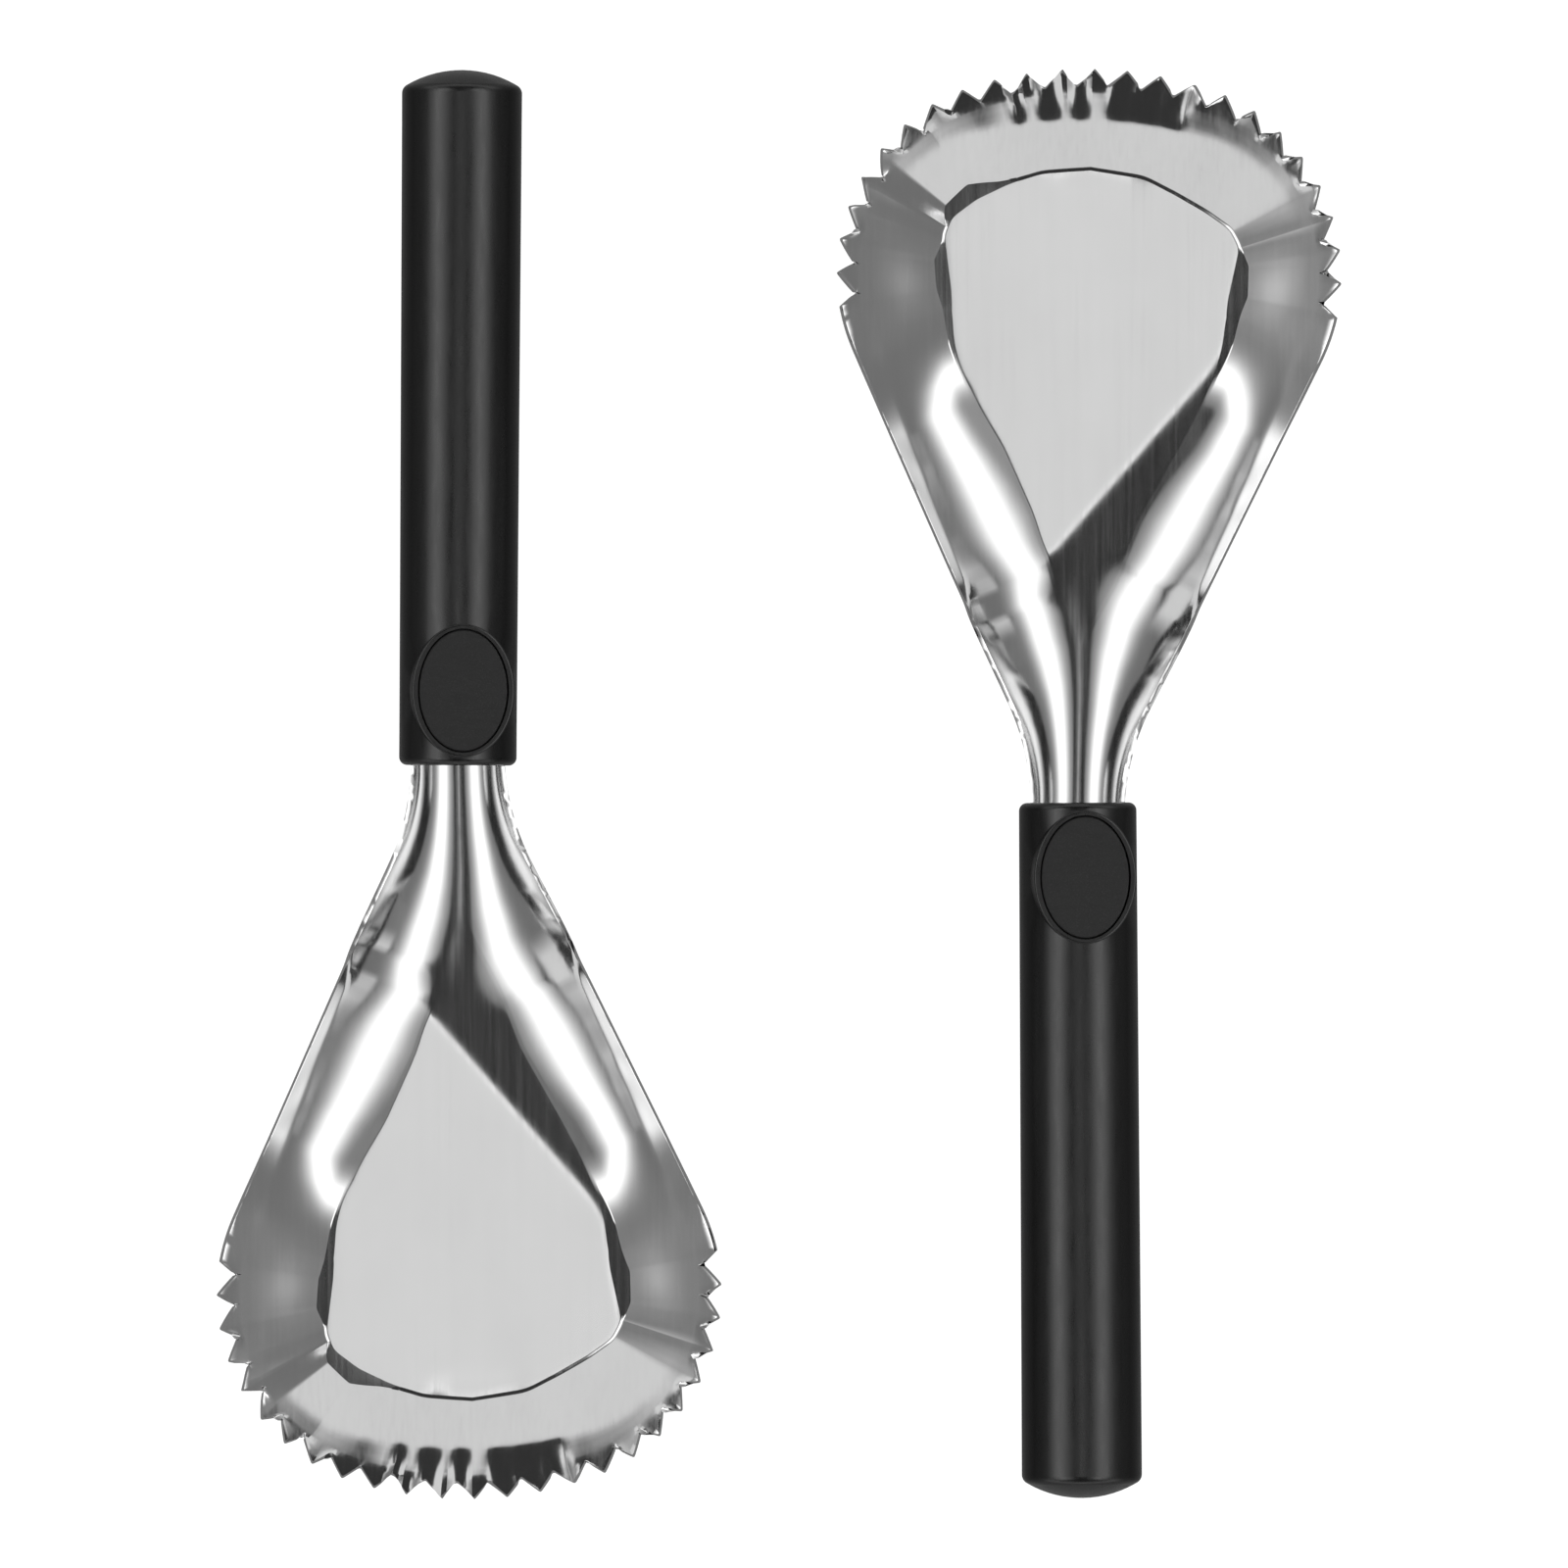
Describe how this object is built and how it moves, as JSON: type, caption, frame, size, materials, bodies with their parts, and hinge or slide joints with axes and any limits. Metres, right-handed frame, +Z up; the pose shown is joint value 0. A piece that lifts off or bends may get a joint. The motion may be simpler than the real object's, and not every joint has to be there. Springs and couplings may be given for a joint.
{
  "type": "serrated scoop pair",
  "caption": "Pair of serrated sheet-steel scoops with round plastic grips, for scraping, scooping and gathering by hand.",
  "frame": {"origin": "on the table, under the middle of the pair's box", "axes": "+Y along the tools, the way the right-hand scoop's teeth point; +Z up, out of the bowls; +X from the left tool to the right one"},
  "size_m": [0.2084, 0.265, 0.0233],
  "materials": {
    "steel": "polished, with fine drawn lines",
    "grip": "semi-gloss moulded black",
    "cover": "matte black",
    "screw": "zinc plated"
  },
  "bodies": {
    "left_tool": {"left_blade": "steel", "left_upper_grip": "grip", "left_lower_grip": "grip", "left_tang_screw": "screw", "left_cover_cap": "cover"},
    "right_tool": {"right_blade": "steel", "right_upper_grip": "grip", "right_lower_grip": "grip", "right_tang_screw": "screw", "right_cover_cap": "cover"}
  },
  "joints": [
    {"name": "right_tool_lift", "type": "slide", "parent": "left_tool", "child": "right_tool", "axis": [0, 0, 1], "range_m": [0, 0.1]}
  ]
}
